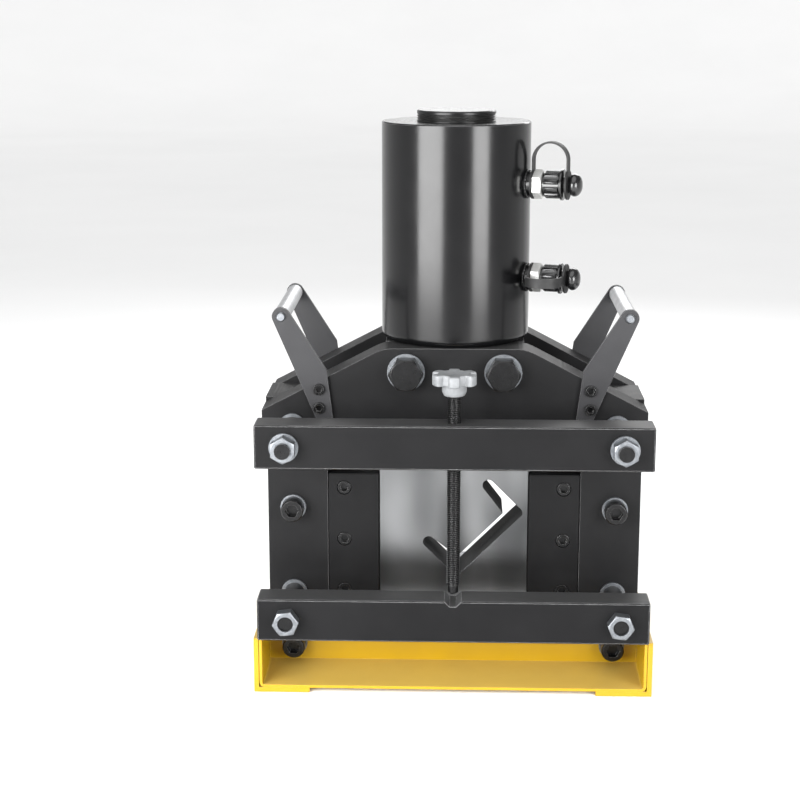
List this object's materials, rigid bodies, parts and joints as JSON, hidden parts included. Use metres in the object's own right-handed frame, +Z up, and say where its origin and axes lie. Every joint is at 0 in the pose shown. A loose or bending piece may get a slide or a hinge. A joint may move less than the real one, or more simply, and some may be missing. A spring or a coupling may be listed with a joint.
{
  "type": "hydraulic channel cutter",
  "caption": "Bench hydraulic shear that cuts U-shaped steel channel through a slot in two blades, with a stock clamp, carrying handles and a tray base.",
  "frame": {"origin": "centre of the bounding box on the ground, under the feet", "axes": "+Z up along the cylinder, -Y towards the operator and the stock clamp, +X to the side with the oil couplers"},
  "size_m": [0.415, 0.348, 0.595],
  "materials": {
    "black_paint": "satin",
    "gloss_black_paint": "gloss",
    "yellow_paint": "satin",
    "tool_steel": "polished",
    "machined_steel": "ground",
    "black_oxide": "satin",
    "zinc_plate": "bright",
    "nickel_plate": "bright",
    "bronze": "machined",
    "cast_knob": "cast",
    "satin_aluminium": "satin",
    "black_plastic": "satin",
    "black_rubber": "matt"
  },
  "bodies": {
    "frame": {"front_plate": "black_paint", "rear_plate": "black_paint", "left_spacer": "black_paint", "right_spacer": "black_paint", "crosshead": "black_paint", "crosshead_bolts": "black_oxide", "crosshead_washers": "zinc_plate", "crosshead_nuts": "black_oxide", "frame_screws": "black_oxide", "frame_screw_washers": "zinc_plate", "fixed_blade": "tool_steel", "left_gib_strip": "black_paint", "right_gib_strip": "black_paint", "gib_screws": "black_oxide", "cylinder_barrel": "gloss_black_paint", "end_plug": "black_oxide", "rod_bush": "bronze", "rod_seal": "black_rubber", "upper_coupler": "nickel_plate", "lower_coupler": "nickel_plate", "upper_cap_strap": "black_rubber", "lower_cap_strap": "black_rubber", "upper_clamp_bar": "black_paint", "lower_clamp_bar": "black_paint", "clamp_studs": "black_oxide", "stud_sleeves": "black_paint", "stud_nuts": "zinc_plate", "stud_washers": "zinc_plate", "left_front_arm": "black_paint", "left_rear_arm": "black_paint", "right_front_arm": "black_paint", "right_rear_arm": "black_paint", "left_grip": "satin_aluminium", "right_grip": "satin_aluminium", "grip_screws": "zinc_plate", "arm_screws": "black_oxide", "front_tray": "yellow_paint", "rear_tray": "yellow_paint", "left_angle_rail": "yellow_paint", "right_angle_rail": "yellow_paint", "tray_screws": "black_oxide", "tray_screw_washers": "zinc_plate"},
    "ram_slide": {"ram": "machined_steel", "piston": "machined_steel", "piston_seal": "black_rubber", "piston_nut": "black_oxide", "ram_pin": "machined_steel", "blade_carrier": "machined_steel", "moving_blade": "tool_steel", "blade_screws": "black_oxide"},
    "clamp_tip": {"swivel_tip": "machined_steel"},
    "clamp_rod": {"clamp_screw": "black_oxide", "star_knob": "cast_knob"},
    "upper_seal": {"upper_cap_seal": "black_rubber"},
    "upper_cap": {"upper_dust_cap": "black_plastic"},
    "lower_seal": {"lower_cap_seal": "black_rubber"},
    "lower_cap": {"lower_dust_cap": "black_plastic"}
  },
  "joints": [
    {"name": "ram_stroke", "type": "slide", "parent": "frame", "child": "ram_slide", "axis": [0, 0, -1], "range_m": [0, 0.028]},
    {"name": "clamp_travel", "type": "slide", "parent": "frame", "child": "clamp_tip", "axis": [0, 0, 1], "range_m": [-0.003, 0.12]},
    {"name": "clamp_turn", "type": "hinge", "parent": "clamp_tip", "child": "clamp_rod", "pos_m": [0, -0.1375, 0.3], "axis": [0, 0, 1], "range_deg": [-560, 21620]},
    {"name": "upper_cap_travel", "type": "slide", "parent": "frame", "child": "upper_seal", "axis": [0.9613, -0.2756, 0], "range_m": [0, 0.003]},
    {"name": "upper_cap_turn", "type": "hinge", "parent": "upper_seal", "child": "upper_cap", "pos_m": [0, 0.016, 0.519], "axis": [0.9613, -0.2756, 0], "range_deg": [0, 550]},
    {"name": "lower_cap_travel", "type": "slide", "parent": "frame", "child": "lower_seal", "axis": [0.9613, -0.2756, 0], "range_m": [0, 0.003]},
    {"name": "lower_cap_turn", "type": "hinge", "parent": "lower_seal", "child": "lower_cap", "pos_m": [0, 0.016, 0.42], "axis": [0.9613, -0.2756, 0], "range_deg": [0, 550]}
  ],
  "couplings": [
    {"joint": "clamp_turn", "follows": "clamp_travel", "rad_per_m": 3141.6},
    {"joint": "upper_cap_turn", "follows": "upper_cap_travel", "rad_per_m": 3141.6},
    {"joint": "lower_cap_turn", "follows": "lower_cap_travel", "rad_per_m": 3141.6}
  ]
}
